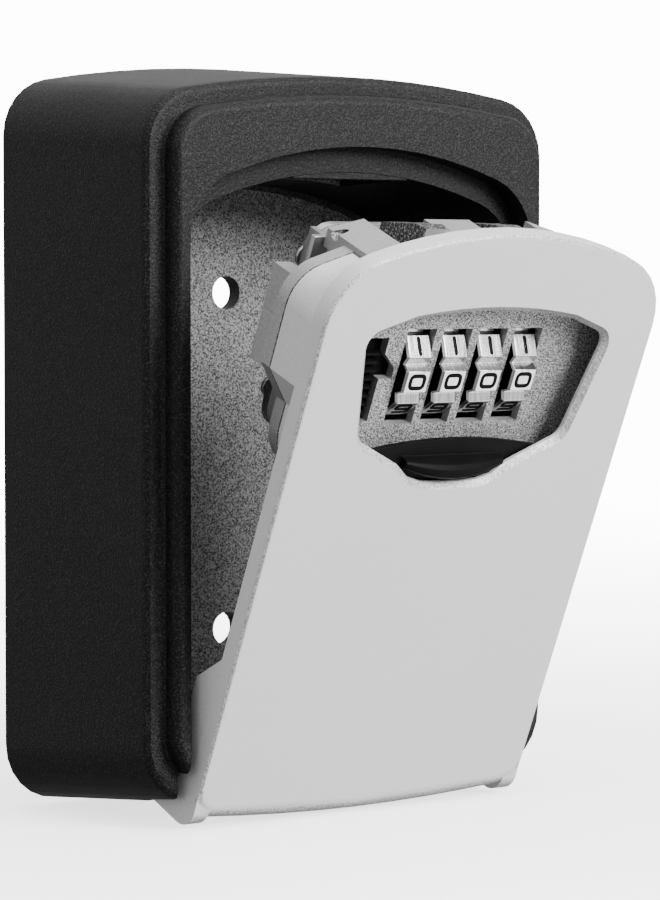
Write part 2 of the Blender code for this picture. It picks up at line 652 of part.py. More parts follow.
def build_dial_bracket(finish):
    """Steel channel that carries the dial shaft between its two ears."""
    (left, left_in), (right_in, right) = bracket_ears()
    low, floor, high = 64.3 * MM, 65.5 * MM, 86.0 * MM
    shape = [(left, low), (right, low), (right, high), (right_in, high), (right_in, floor),
             (left_in, floor), (left_in, high), (left, high)]
    bracket = prism("dial_bracket", shape, at_depth(8.8 * MM), at_depth(19.0 * MM), finish)
    centre = (at_depth(WHEEL_DEPTH), WHEEL_Z)
    for number, (start, end) in enumerate(bracket_ears()):
        cut(bracket, rod(f"cut_bracket_hole_{number}", centre, SHAFT_RADIUS + FIT_GAP,
                         start - 1 * MM, end + 1 * MM, "x", sides=16))
    return bracket


def build_dial_shaft(finish):
    """Plain steel shaft through the wheels, with a clip groove near each end."""
    (left, _), (_, right) = bracket_ears()
    neck, radius = 1.0 * MM, SHAFT_RADIUS
    stations = [(left - 0.9 * MM, radius), (left - 0.8 * MM, radius), (left - 0.75 * MM, neck),
                (left - 0.25 * MM, neck), (left - 0.2 * MM, radius), (right + 0.2 * MM, radius),
                (right + 0.25 * MM, neck), (right + 0.4 * MM, neck), (right + 0.45 * MM, radius)]
    shaft = loft("dial_shaft", [(x, circle(size, 16)) for x, size in stations], finish, "x")
    shaft.location = (0.0, at_depth(WHEEL_DEPTH), WHEEL_Z)
    return shaft


def build_detent_spring(finish):
    """Comb of four leaf fingers that click behind the wheels."""
    low, root, high = 64.3 * MM, 69.0 * MM, 83.0 * MM
    finger = 1.9 * MM
    right = [(wheel_x(0) - 3 * MM, low), (wheel_x(WHEEL_COUNT - 1) + 3 * MM, low),
             (wheel_x(WHEEL_COUNT - 1) + 3 * MM, root)]
    for index in reversed(range(WHEEL_COUNT)):
        middle = wheel_x(index)
        right += [(middle + finger, root), (middle + finger, high), (middle - finger, high),
                  (middle - finger, root)]
    right.append((wheel_x(0) - 3 * MM, root))
    return prism("detent_spring", right, at_depth(21.5 * MM), at_depth(21.9 * MM), finish)


# ---- latch, slider and springs ----------------------------------------------------------------
def build_latch(finish):
    """Latch slide: cross bar, slider leg and two hooked lugs with a ramp behind."""
    bar = block("latch_plate", (-LATCH_BAR_HALF, at_depth(LATCH_FRONT), LATCH_BAR_LOW),
                (LATCH_BAR_HALF, at_depth(LATCH_REAR), LATCH_BAR_HIGH), finish)
    leg = block("join_latch_leg", (-18.9 * MM, at_depth(LATCH_FRONT + 0.1 * MM), 71.8 * MM),
                (-15.6 * MM, at_depth(11.0 * MM), LATCH_BAR_LOW + 1 * MM))
    weld(bar, leg)
    side_shape = [(at_depth(LUG_FRONT), LATCH_BAR_LOW + 0.4 * MM),
                  (at_depth(LUG_REAR), LATCH_BAR_LOW + 0.4 * MM),
                  (at_depth(LUG_REAR), LUG_REAR_TOP), (at_depth(LUG_FRONT + 2.2 * MM), LUG_TOP),
                  (at_depth(LUG_FRONT), LUG_TOP)]
    for side in (-1, 1):
        centre = side * LUG_OFFSET
        weld(bar, prism(f"join_lug_{side}", side_shape, centre - LUG_WIDTH / 2,
                        centre + LUG_WIDTH / 2, axis="x"))
    return bar


def build_thumb_slider(finish):
    """Black thumb slider behind the panel slot, with ribs that stand in the slot."""
    front = at_depth(PANEL_DEPTH + PANEL_THICKNESS + FIT_GAP)
    slider = block("thumb_slider", (-23.6 * MM, front, 65.6 * MM),
                   (-13.0 * MM, at_depth(LATCH_FRONT - 0.25 * MM), 85.6 * MM), finish)
    rib_count, rib_height = 8, 0.75 * MM
    first, last = THUMB_SLOT_LOW + 0.3 * MM, THUMB_SLOT_HIGH - LATCH_TRAVEL - 0.2 * MM
    for rib in range(rib_count):
        middle = first + (last - first) * (rib + 0.5) / rib_count
        shape = [(front + 0.2 * MM, middle - rib_height), (front + 0.2 * MM, middle + rib_height * 0.9),
                 (front - 1.1 * MM, middle + 0.3 * MM), (front - 1.1 * MM, middle - 0.1 * MM)]
        weld(slider, prism(f"join_rib_{rib}", shape, THUMB_SLOT_LEFT + FIT_GAP,
                           THUMB_SLOT_RIGHT - FIT_GAP, axis="x"))
    return slider


def helix(name, centre, radius, wire, low, high, turns, finish):
    """Round-wire compression spring, upright on its centre line."""
    builder = bmesh.new()
    per_turn, sides = 10, 6
    steps = turns * per_turn
    rings = []
    for step in range(steps + 1):
        angle = 2 * math.pi * step / per_turn
        up = low + wire + (high - low - 2 * wire) * step / steps
        outward = Vector((math.cos(angle), math.sin(angle), 0.0))
        middle = Vector((centre[0], centre[1], up)) + outward * radius
        ring = []
        for side in range(sides):
            turn = 2 * math.pi * side / sides
            offset = outward * (wire * math.cos(turn)) + Vector((0, 0, wire * math.sin(turn)))
            ring.append(builder.verts.new(middle + offset))
        rings.append(ring)
    for first, second in zip(rings, rings[1:]):
        for side in range(sides):
            after = (side + 1) % sides
            builder.faces.new((first[side], first[after], second[after], second[side]))
    builder.faces.new(rings[0])
    builder.faces.new(rings[-1])
    return make_object(name, builder, finish)


# ---- shutter ---------------------------------------------------------------------------------
def build_shutter(finish):
    """Sliding weather shutter with an arched top edge and a finger tab."""
    crown_centre = SHUTTER_TOP - WINDOW_CROWN
    lean = math.acos(SHUTTER_HALF / WINDOW_CROWN)
    right = [(0.0, SHUTTER_BOTTOM), (SHUTTER_HALF, SHUTTER_BOTTOM)]
    right += arc((0.0, crown_centre), WINDOW_CROWN, lean, math.pi / 2, 6)
    front = at_depth(SHUTTER_FRONT)
    shutter = prism("shutter", mirrored(right), front, front + SHUTTER_THICKNESS, finish)
    tab_shape = [(0.3 * MM, 0.0), (0.3 * MM, 3.7 * MM), (-1.5 * MM, 3.6 * MM), (-2.6 * MM, 2.9 * MM),
                 (-2.9 * MM, 1.6 * MM), (-2.2 * MM, 0.7 * MM)]
    sections = []
    for step in range(-4, 5):
        across = step / 4
        fall = 1.0 - 0.5 * across ** 2
        outline = [(front + y * fall, TAB_TOP - drop * fall) for y, drop in tab_shape]
        sections.append((TAB_HALF * across, outline))
    tab = loft("join_tab", sections, axis="x")
    weld(shutter, tab)
    return shutter


def build_shutter_retainer(finish):
    """Thin plate behind the lower shutter pocket that keeps the shutter in its track."""
    low, high = (-RETAINER_HALF, 34.0 * MM), (RETAINER_HALF, 60.0 * MM)
    rear = at_depth(RETAINER_FRONT + RETAINER_THICKNESS)
    plate = prism("shutter_retainer", round_rectangle(low, high, 2 * MM), at_depth(RETAINER_FRONT),
                  rear, finish)
    for side in (-1, 1):
        cut(plate, rod(f"cut_retainer_hole_{side}", (side * RETAINER_SCREW_X, RETAINER_SCREW_Z),
                       1.2 * MM, at_depth(RETAINER_FRONT) - 1 * MM, rear + 1 * MM, "y", sides=12))
    return plate


def build_retainer_screws(finish):
    """The shutter retainer's two screws."""
    screws = []
    for side, name in ((-1, "retainer_screw_left"), (1, "retainer_screw_right")):
        item = screw(name, 1.7 * MM, 0.9 * MM, 0.8 * MM, 2.6 * MM, finish)
        rear = at_depth(RETAINER_FRONT + RETAINER_THICKNESS + 0.2 * MM)
        item.location = (side * RETAINER_SCREW_X, rear, RETAINER_SCREW_Z)
        screws.append(item)
    return screws


def build_key_hook(finish):
    """Steel angle beside the key post; the ring hangs in the gap between them."""
    leaf, y = 1.0 * MM, at_depth(17.8 * MM)
    shape = [(-24.3 * MM, y), (-21.3 * MM, y), (-21.3 * MM, y + 4.2 * MM),
             (-22.3 * MM, y + 4.2 * MM), (-22.3 * MM, y + leaf), (-24.3 * MM, y + leaf)]
    return prism("key_hook", shape, 84.0 * MM, 96.0 * MM, finish, axis="z")


def reset_pivot():
    """Where the code-reset lever turns, on the cover plate."""
    return Vector((RESET_X, at_depth(REAR_BOX_REAR + 2 * FIT_GAP + COVER_PLATE_THICKNESS), RESET_Z))


def build_reset_lever(finish):
    """Code-reset lever: a flat arm with a bent tip on a round stem."""
    arm = [(-2.0 * MM, -8.6 * MM), (2.0 * MM, -8.6 * MM), (2.6 * MM, 2.2 * MM), (-2.6 * MM, 2.2 * MM)]
    lever = prism("reset_lever", arm, 0.0, 1.0 * MM, finish)
    stem = rod("join_reset_stem", (0.0, 0.0), 1.6 * MM, -3.2 * MM, 0.4 * MM, "y", sides=16)
    tip = block("join_reset_tip", (-1.9 * MM, 0.5 * MM, -8.5 * MM), (1.9 * MM, 2.4 * MM, -7.4 * MM))
    for piece in (lever, stem, tip):
        piece.location = reset_pivot()
    weld(lever, stem, tip)
    return lever


def hang_on_door(pivot, items):
    """Parent closed-door pieces, and the guides they use, to the hinge empty."""
    back = Matrix.Translation(-pivot.location)
    for item in items:
        item.parent = pivot
        item.matrix_parent_inverse = back
        for modifier in item.modifiers:
            modifier.object.parent = pivot
            modifier.object.matrix_parent_inverse = back


def main():
    """Clear the scene and build every piece."""
    for item in list(bpy.data.objects):
        bpy.data.objects.remove(item)
    black = paint("black_powder_coat", (0.028, 0.029, 0.031), 0.55, 0.0)
    silver = paint("silver_grey_paint", (0.50, 0.50, 0.50), 0.45, 0.2)
    rough_cast = paint("rough_silver_cast", (0.32, 0.32, 0.32), 0.55, 0.4)
    chrome = paint("chrome", (0.78, 0.78, 0.79), 0.15, 1.0)
    steel = paint("zinc_plated_steel", (0.55, 0.55, 0.54), 0.35, 1.0)
    cast_steel = paint("dark_cast_steel", (0.16, 0.16, 0.16), 0.5, 0.9)
    brass = paint("brass", (0.60, 0.44, 0.18), 0.3, 1.0)
    plastic = paint("black_plastic", (0.02, 0.02, 0.02), 0.4, 0.0)

    build_box(black)
    build_hinge_pin(-1, "hinge_pin_left", steel)
    build_hinge_pin(1, "hinge_pin_right", steel)

    pieces = [build_door_cover(silver), build_lock_case(rough_cast), build_case_back(steel)]
    pieces += build_case_screws(steel)
    for index in range(WHEEL_COUNT):
        pieces.append(build_wheel(index, chrome))
        pieces.append(build_cam(index, brass))
    pieces += [build_dial_bracket(steel), build_dial_shaft(steel), build_detent_spring(steel)]
    pieces += [build_latch(cast_steel), build_thumb_slider(plastic)]
    for side, name in ((-1, "latch_spring_left"), (1, "latch_spring_right")):
        centre = (side * SPRING_X, at_depth(10.5 * MM))
        pieces.append(helix(name, centre, SPRING_RADIUS, SPRING_WIRE, SPRING_FLOOR,
                            LATCH_BAR_LOW - FIT_GAP, SPRING_TURNS, steel))
    pieces += [build_shutter(plastic), build_shutter_retainer(steel), build_key_hook(steel)]
    pieces += build_retainer_screws(steel)
    pieces.append(build_reset_lever(steel))

    pivot = bpy.data.objects.new("door_hinge_axis", None)
    bpy.context.scene.collection.objects.link(pivot)
    pivot.location = (0.0, HINGE_Y, HINGE_Z)
    hang_on_door(pivot, pieces)
    pivot.rotation_euler = (DOOR_OPEN, 0.0, 0.0)
    roots = [item for item in bpy.data.objects if item.parent is None]
    wall_centre = bpy.data.objects.new("wall_face_centre", None)
    bpy.context.scene.collection.objects.link(wall_centre)
    wall_centre.location = (0.0, 0.0, -FRAME_HEIGHT)
    for item in roots:
        item.parent = wall_centre


main()
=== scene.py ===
"""Looks of the key lock box: finishes, softened edges, dial numerals, light and camera."""
import json
import math

import bmesh
import bpy
from mathutils import Matrix, Vector


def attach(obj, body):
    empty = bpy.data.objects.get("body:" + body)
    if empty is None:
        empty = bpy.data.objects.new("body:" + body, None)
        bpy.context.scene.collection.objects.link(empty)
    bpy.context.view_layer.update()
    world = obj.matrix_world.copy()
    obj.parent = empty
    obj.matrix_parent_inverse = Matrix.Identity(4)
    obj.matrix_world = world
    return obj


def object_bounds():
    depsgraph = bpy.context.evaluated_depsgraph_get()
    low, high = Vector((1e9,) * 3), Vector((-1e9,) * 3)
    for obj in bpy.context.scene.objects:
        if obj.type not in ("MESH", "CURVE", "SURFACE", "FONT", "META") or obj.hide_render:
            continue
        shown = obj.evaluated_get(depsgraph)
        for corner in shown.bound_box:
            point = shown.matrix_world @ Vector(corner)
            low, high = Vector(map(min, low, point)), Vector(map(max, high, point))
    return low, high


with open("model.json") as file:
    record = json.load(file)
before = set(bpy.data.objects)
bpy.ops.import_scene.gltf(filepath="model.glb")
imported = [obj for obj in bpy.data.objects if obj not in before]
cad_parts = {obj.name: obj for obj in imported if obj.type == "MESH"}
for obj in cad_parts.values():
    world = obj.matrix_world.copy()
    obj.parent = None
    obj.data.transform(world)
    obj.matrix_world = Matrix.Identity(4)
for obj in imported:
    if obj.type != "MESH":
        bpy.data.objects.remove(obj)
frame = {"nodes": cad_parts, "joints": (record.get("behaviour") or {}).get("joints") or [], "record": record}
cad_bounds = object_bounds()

MM = 0.001
NODES = frame["nodes"]
JOINTS = {joint["name"]: joint for joint in frame["joints"]}

# The door leans out at rest: UP runs up its face, FRONT points out of it.
UP = Vector(JOINTS["shutter_travel"]["axis"]).normalized()
RIGHT = Vector((1.0, 0.0, 0.0))
FRONT = RIGHT.cross(UP)

# ---- softened edges ---------------------------------------------------------
EDGE_WIDTHS = {
    "back_box": 0.35 * MM, "door_cover": 0.25 * MM, "lock_case": 0.3 * MM,
    "latch_plate": 0.3 * MM, "shutter": 0.2 * MM, "thumb_slider": 0.12 * MM}
SMALL_EDGE_WIDTH = 0.08 * MM
EDGE_SEGMENTS = 2
EDGE_ANGLE = math.radians(28.0)
FLAT_ANGLE = math.radians(0.6)
MERGE_DISTANCE = 1e-6
AREA_WEIGHT = 80

# ---- camera -----------------------------------------------------------------
CAMERA_PLACE = Vector((-342.1, -471.1, 24.2)) * MM
CAMERA_YAW = math.radians(37.88)
CAMERA_DIP = math.radians(2.777)
CAMERA_LENS = 138.1
SENSOR_HEIGHT = 36.0
NEAR_LIMIT = 0.01

# ---- studio -----------------------------------------------------------------
FLOOR_RADIUS = 0.8
FLOOR_SIDES = 64
FLOOR_DROP = 0.5 * MM
FLOOR_FADE_START = 0.10
FLOOR_FADE_END = 0.75
FLOOR_GLOW = 2.0
LAMP_SIZE = (0.7, 0.7)
KEY_PLACE = (0.45, -1.3, 0.55)
KEY_POWER = 44.0
TOP_PLACE = (0.1, -0.25, 1.1)
TOP_POWER = 9.0
BACKDROP_STRENGTH = 14.0
WHITE = (1.0, 1.0, 1.0, 1.0)
# Direction, the cosines where brightness starts and stops to rise, and its two ends.
OVERHEAD = ((0.2, 0.0, 1.0), -0.5, 0.3, 0.3, 1.3)
LOW_CARD = ((0.612, -0.502, -0.612), 0.86, 0.97, 0.0, 3.0)

# ---- dial numerals -----------------------------------------------------------
WHEEL_COUNT = 4
DIGITS = 10
FACET_RADIUS = 8.9 * MM
DIGIT_HALF_WIDTH = 1.32 * MM
DIGIT_HALF_HEIGHT = 1.02 * MM
STROKE_RADIUS = 0.35 * MM
STROKE_SIDES = 8
STROKE_FLATNESS = 0.22
STROKE_CORNER = 0.75 * MM
CORNER_STEPS = 5
CORNER_REACH = 0.48
CAP_WAIST = 0.72
CAP_WAIST_REACH = 0.7
NUMERAL_LIFT = 0.01 * MM
GLYPHS = {
    0: [("loop", (-1, -1), (1, -1), (1, 1), (-1, 1))],
    1: [("line", (0, -1.15), (0, 1.15))],
    2: [("line", (-1, 0.6), (-1, 1), (1, 1), (1, 0.2), (-1, -0.4), (-1, -1), (1, -1))],
    3: [("line", (-1, 1), (1, 1), (1, 0.1), (-0.2, 0.1)), ("line", (1, 0.1), (1, -1), (-1, -1))],
    4: [("line", (0.45, -1.1), (0.45, 1.1), (-1, -0.4), (1.1, -0.4))],
    5: [("line", (1, 1), (-1, 1), (-1, 0.15), (1, 0.15), (1, -1), (-1, -1))],
    6: [("line", (0.9, 1), (-1, 1), (-1, -1), (1, -1), (1, 0.1), (-1, 0.1))],
    7: [("line", (-1, 1), (1, 1), (-0.1, -1.1))],
    8: [("loop", (-0.85, 0.08), (0.85, 0.08), (0.85, 1), (-0.85, 1)),
        ("loop", (-1, -1), (1, -1), (1, 0.08), (-1, 0.08))],
    9: [("line", (-0.9, -1), (1, -1), (1, 1), (-1, 1), (-1, -0.1), (1, -0.1))],
}


# ---- node materials -----------------------------------------------------------
class Finish:
    """A Principled material with short calls for the nodes that feed it."""

    def __init__(self, name, colour, roughness, metallic=0.0):
        self.material = bpy.data.materials.new(name)
        self.material.use_nodes = True
        self.tree = self.material.node_tree
        self.shader = self.tree.nodes["Principled BSDF"]
        self.coordinates = self.add("ShaderNodeTexCoord")
        self.shader.inputs["Metallic"].default_value = metallic
        self.set("Base Color", (*colour, 1.0))
        self.set("Roughness", roughness)

    def add(self, kind):
        """A new node in this material."""
        return self.tree.nodes.new(kind)

    def set(self, socket, value):
        """A constant on the shader."""
        self.shader.inputs[socket].default_value = value

    def join(self, output, target):
        """A link between two sockets."""
        self.tree.links.new(output, target)

    def noise(self, size, detail=3.0, roughness=0.55, stretch=None):
        """Noise whose features are about size metres across."""
        node = self.add("ShaderNodeTexNoise")
        node.inputs["Scale"].default_value = 1.0 / size
        node.inputs["Detail"].default_value = detail
        node.inputs["Roughness"].default_value = roughness
        source = self.coordinates.outputs["Object"]
        if stretch is not None:
            mapping = self.add("ShaderNodeMapping")
            mapping.inputs["Scale"].default_value = stretch
            self.join(source, mapping.inputs["Vector"])
            source = mapping.outputs["Vector"]
        self.join(source, node.inputs["Vector"])
        return node.outputs["Fac"]

    def ramp(self, value, low, high, start=0.0, end=1.0):
        """Value mapped from low..high to start..end, clamped."""
        node = self.add("ShaderNodeMapRange")
        node.inputs["From Min"].default_value = low
        node.inputs["From Max"].default_value = high
        node.inputs["To Min"].default_value = start
        node.inputs["To Max"].default_value = end
        self.join(value, node.inputs["Value"])
        return node.outputs["Result"]

    def mix(self, factor, first, second):
        """A colour between two colours."""
        node = self.add("ShaderNodeMix")
        node.data_type = "RGBA"
        self.join(factor, node.inputs["Factor"])
        for value, socket in ((first, node.inputs["A"]), (second, node.inputs["B"])):
            if isinstance(value, tuple):
                socket.default_value = (*value, 1.0)
            else:
                self.join(value, socket)
        return node.outputs["Result"]

    def blend(self, factor, first, second):
        """A number between two numbers or sockets."""
        node = self.add("ShaderNodeMix")
        self.join(factor, node.inputs["Factor"])
        for value, socket in ((first, node.inputs["A"]), (second, node.inputs["B"])):
            if isinstance(value, float):
                socket.default_value = value
            else:
                self.join(value, socket)
        return node.outputs["Result"]

    def maths(self, operation, first, second=0.5):
        """One arithmetic step."""
        node = self.add("ShaderNodeMath")
        node.operation = operation
        for value, socket in ((first, node.inputs[0]), (second, node.inputs[1])):
            if isinstance(value, float):
                socket.default_value = value
            else:
                self.join(value, socket)
        return node.outputs["Value"]

    def facing(self, direction):
        """How squarely the surface looks along a direction, 1 when it does."""
        node = self.add("ShaderNodeVectorMath")
        node.operation = "DOT_PRODUCT"
        self.join(self.coordinates.outputs["Normal"], node.inputs[0])
        node.inputs[1].default_value = direction
        return node.outputs["Value"]

    def place(self, direction):
        """Distance along a direction, in metres."""
        node = self.add("ShaderNodeVectorMath")
        node.operation = "DOT_PRODUCT"
        self.join(self.coordinates.outputs["Object"], node.inputs[0])
        node.inputs[1].default_value = direction
        return node.outputs["Value"]

    def colour(self, output):
        """Feeds the base colour."""
        self.join(output, self.shader.inputs["Base Color"])

    def rough(self, output):
        """Feeds the roughness."""
        self.join(output, self.shader.inputs["Roughness"])

    def bump(self, height, depth, strength=1.0):
        """Feeds the normal from a height map whose full range is depth metres."""
        node = self.add("ShaderNodeBump")
        node.inputs["Distance"].default_value = depth
        if isinstance(strength, float):
            node.inputs["Strength"].default_value = strength
        else:
            self.join(strength, node.inputs["Strength"])
        self.join(height, node.inputs["Height"])
        self.join(node.outputs["Normal"], self.shader.inputs["Normal"])


def black_powder_coat():
    """Fine orange-peel powder coat over a zinc casting, with painted light: the front-facing back wall deep
    inside the box is painted a paler grey, standing in for lamp light reaching into the box.
    """
    finish = Finish("black_powder_coat", (0.010, 0.010, 0.010), 0.5)
    finish.set("Specular IOR Level", 0.14)
    peel = finish.noise(0.40 * MM, 2.0, 0.6)
    fleck = finish.noise(0.26 * MM, 2.0, 0.6)
    cloud = finish.noise(25 * MM, 3.0)
    outside = finish.mix(finish.ramp(fleck, 0.50, 0.66), (0.002, 0.002, 0.002), (0.024, 0.024, 0.025))
    # Painted light: a paler grey only on deep surfaces that face the front (the back wall) stands in for
    # light falling into the box.
    painted_lit_back_wall = finish.mix(finish.ramp(fleck, 0.38, 0.62), (0.045, 0.045, 0.046), (0.36, 0.36, 0.362))
    deep = finish.ramp(finish.place((0.0, 1.0, 0.0)), -30 * MM, -8 * MM)
    painted_light_mask = finish.maths("MULTIPLY", deep, finish.ramp(finish.facing((0.0, -1.0, 0.0)), 0.5, 0.9))
    finish.colour(finish.mix(painted_light_mask, outside, painted_lit_back_wall))
    finish.rough(finish.blend(cloud, 0.42, 0.56))
    height = finish.maths("ADD", peel, finish.maths("MULTIPLY", fleck, 0.35))
    finish.bump(height, 0.13 * MM, 0.7)
    return finish.material


def silver_paint():
    """Satin silver-grey paint: smooth on the door's face, sandy on its rounded edges."""
    finish = Finish("silver_paint", (0.56, 0.56, 0.565), 0.45, 0.15)
    look = finish.facing(FRONT)
    face = finish.ramp(look, 0.955, 0.992)
    side = finish.ramp(look, 0.35, 0.12)
    calm = finish.maths("MAXIMUM", face, side)
    grain = finish.noise(0.34 * MM, 2.0)
    cloud = finish.noise(35 * MM, 2.0)
    smooth = finish.mix(cloud, (0.575, 0.575, 0.578), (0.60, 0.60, 0.603))
    rim = finish.mix(finish.ramp(grain, 0.3, 0.7), (0.54, 0.54, 0.542), (0.62, 0.62, 0.622))
    sandy = finish.mix(finish.ramp(grain, 0.35, 0.66), (0.27, 0.27, 0.27), (0.66, 0.66, 0.66))
    finish.colour(finish.mix(face, finish.mix(side, sandy, rim), smooth))
    finish.rough(finish.blend(face, 0.40, finish.blend(finish.noise(9 * MM), 0.46, 0.54)))
    finish.bump(grain, 0.12 * MM, finish.ramp(calm, 0.0, 1.0, 0.6, 0.03))
    return finish.material


def silver_cast():
    """Silver paint over a rough casting: bright sparkle in a sandy surface."""
    finish = Finish("silver_cast", (0.36, 0.36, 0.36), 0.42, 0.5)
    grain = finish.noise(0.24 * MM, 3.0, 0.65)
    patch = finish.noise(6 * MM, 2.0)
    dark = finish.mix(patch, (0.04, 0.04, 0.04), (0.09, 0.09, 0.09))
    sandy = finish.mix(finish.ramp(grain, 0.43, 0.60), dark, (0.62, 0.62, 0.62))
    smooth = finish.mix(finish.ramp(grain, 0.3, 0.7), (0.24, 0.24, 0.242), (0.36, 0.36, 0.362))
    side = finish.ramp(finish.facing(FRONT), 0.5, 0.2)
    finish.colour(finish.mix(side, sandy, smooth))
    finish.rough(finish.ramp(grain, 0.3, 0.7, 0.50, 0.34))
    finish.bump(grain, 0.22 * MM, finish.ramp(side, 0.0, 1.0, 0.8, 0.15))
    return finish.material


def chrome_wheel():
    """Brushed plating on the digit faces and black sides: partly the wheels' own black fill, partly a
    painted reflection of the dark slot they turn in.
    """
    finish = Finish("wheel_plating", (0.66, 0.66, 0.67), 0.2, 1.0)
    # Black on the left and right faces: partly their own fill, partly a painted dark reflection of the slot
    # around them.
    side = finish.ramp(finish.maths("ABSOLUTE", finish.facing(RIGHT)), 0.8, 0.95)
    streak = finish.noise(0.16 * MM, 3.0, 0.6, (1.0, 0.04, 0.04))
    bright = finish.mix(finish.ramp(streak, 0.3, 0.7), (0.46, 0.46, 0.47), (0.80, 0.80, 0.81))
    finish.colour(finish.mix(side, bright, (0.006, 0.006, 0.006)))
    finish.rough(finish.blend(side, finish.ramp(streak, 0.3, 0.7, 0.14, 0.26), 0.6))
    finish.bump(streak, 0.012 * MM, 0.25)
    return finish.material


def zinc_steel():
    """Bright zinc-plated steel with a faint rolled grain and dull blooms."""
    finish = Finish("zinc_steel", (0.60, 0.60, 0.60), 0.34, 1.0)
    grain = finish.noise(0.25 * MM, 3.0, 0.6, (0.08, 1.0, 1.0))
    bloom = finish.noise(3.5 * MM, 3.0)
    finish.colour(finish.mix(bloom, (0.50, 0.50, 0.50), (0.68, 0.68, 0.67)))
    finish.rough(finish.blend(bloom, 0.26, 0.42))
    finish.bump(grain, 0.01 * MM, 0.5)
    return finish.material


def dark_cast():
    """Rough dark casting whose front faces are ground bright."""
    finish = Finish("dark_cast", (0.16, 0.16, 0.16), 0.45, 0.85)
    ground = finish.ramp(finish.facing(FRONT), 0.72, 0.88)
    pits = finish.noise(0.42 * MM, 3.0, 0.65)
    scratch = finish.noise(0.12 * MM, 2.0, 0.5, (1.0, 1.0, 0.12))
    rough_tone = finish.mix(finish.ramp(pits, 0.50, 0.70), (0.05, 0.05, 0.05), (0.62, 0.62, 0.62))
    bright_tone = finish.mix(scratch, (0.62, 0.62, 0.62), (0.92, 0.92, 0.92))
    finish.colour(finish.mix(ground, rough_tone, bright_tone))
    finish.rough(finish.blend(ground, 0.42, 0.30))
    finish.bump(pits, 0.30 * MM, finish.ramp(ground, 0.0, 1.0, 0.8, 0.12))
    return finish.material


def machined_brass():
    """Turned brass with fine tool rings."""
    finish = Finish("machined_brass", (0.60, 0.43, 0.17), 0.28, 1.0)
    rings = finish.noise(0.10 * MM, 2.0, 0.5, (1.0, 0.05, 0.05))
    finish.colour(finish.mix(finish.noise(2 * MM), (0.52, 0.36, 0.13), (0.66, 0.49, 0.21)))
    finish.rough(finish.ramp(rings, 0.3, 0.7, 0.22, 0.36))
    finish.bump(rings, 0.008 * MM, 0.5)
    return finish.material


def black_plastic():
    """Moulded black plastic with a fine spark-eroded grain."""
    finish = Finish("black_plastic", (0.006, 0.006, 0.006), 0.38)
    finish.set("Specular IOR Level", 0.03)
    grain = finish.noise(0.22 * MM, 2.0)
    finish.colour(finish.mix(finish.noise(5 * MM), (0.002, 0.002, 0.002), (0.006, 0.006, 0.006)))
    finish.rough(finish.blend(finish.noise(2 * MM), 0.32, 0.46))
    finish.bump(grain, 0.03 * MM, 0.35)
    return finish.material


def black_enamel():
    """Glossy black fill of the dial numerals."""
    finish = Finish("black_enamel", (0.003, 0.003, 0.003), 0.3)
    finish.set("Specular IOR Level", 0.03)
    finish.colour(finish.mix(finish.noise(0.8 * MM), (0.002, 0.002, 0.002), (0.005, 0.005, 0.005)))
    finish.rough(finish.blend(finish.noise(0.5 * MM), 0.22, 0.40))
    finish.bump(finish.noise(0.15 * MM), 0.01 * MM, 0.4)
    return finish.material


def studio_floor():
    """Plain pale floor that fades into the backdrop."""
    finish = Finish("studio_floor", (0.86, 0.86, 0.86), 0.7)
    finish.colour(finish.mix(finish.noise(0.4), (0.88, 0.88, 0.88), (0.92, 0.92, 0.92)))
    away = finish.add("ShaderNodeVectorMath")
    away.operation = "LENGTH"
    finish.join(finish.coordinates.outputs["Object"], away.inputs[0])
    fade = finish.ramp(away.outputs["Value"], FLOOR_FADE_START, FLOOR_FADE_END, 1.0, 0.0)
    finish.join(fade, finish.shader.inputs["Alpha"])
    finish.set("Emission Color", WHITE)
    finish.set("Emission Strength", FLOOR_GLOW)
    return finish.material


# ---- edges ----------------------------------------------------------------------
def soften(item, width):
    """Round a CAD part's hard edges with modifiers, which leave its own mesh alone."""
    merge = item.modifiers.new("merge", "WELD")
    merge.merge_threshold = MERGE_DISTANCE
    planar = item.modifiers.new("planar", "DECIMATE")
    planar.decimate_type = "DISSOLVE"
    planar.angle_limit = FLAT_ANGLE
    bevel = item.modifiers.new("edges", "BEVEL")
    bevel.width = width
    bevel.segments = EDGE_SEGMENTS
    bevel.limit_method = "ANGLE"
    bevel.angle_limit = EDGE_ANGLE
    bevel.use_clamp_overlap = True
    normals = item.modifiers.new("normals", "WEIGHTED_NORMAL")
    normals.keep_sharp = False
    normals.weight = AREA_WEIGHT


def smooth(item):
    """Smooth shading with no stored normals, so that the modifiers decide."""
    stored = item.data.attributes.get("custom_normal")
    if stored is not None:
        item.data.attributes.remove(stored)
    for edge in item.data.edges:
        edge.use_edge_sharp = False
    item.data.shade_smooth()


# ---- numerals ---------------------------------------------------------------------
def rounded(points, radius, closed):
    """A polyline with its corners replaced by short arcs."""
    result = []
    count = len(points)
    for index, here in enumerate(points):
        if not closed and index in (0, count - 1):
            result.append(here)
            continue
        before = points[index - 1]
        after = points[(index + 1) % count]
        reach = min(radius, CORNER_REACH * (before - here).length, CORNER_REACH * (after - here).length)
        start = here + (before - here).normalized() * reach
        end = here + (after - here).normalized() * reach
        for step in range(CORNER_STEPS + 1):
            t = step / CORNER_STEPS
            result.append(start * (1 - t) ** 2 + here * 2 * t * (1 - t) + end * t ** 2)
    return result


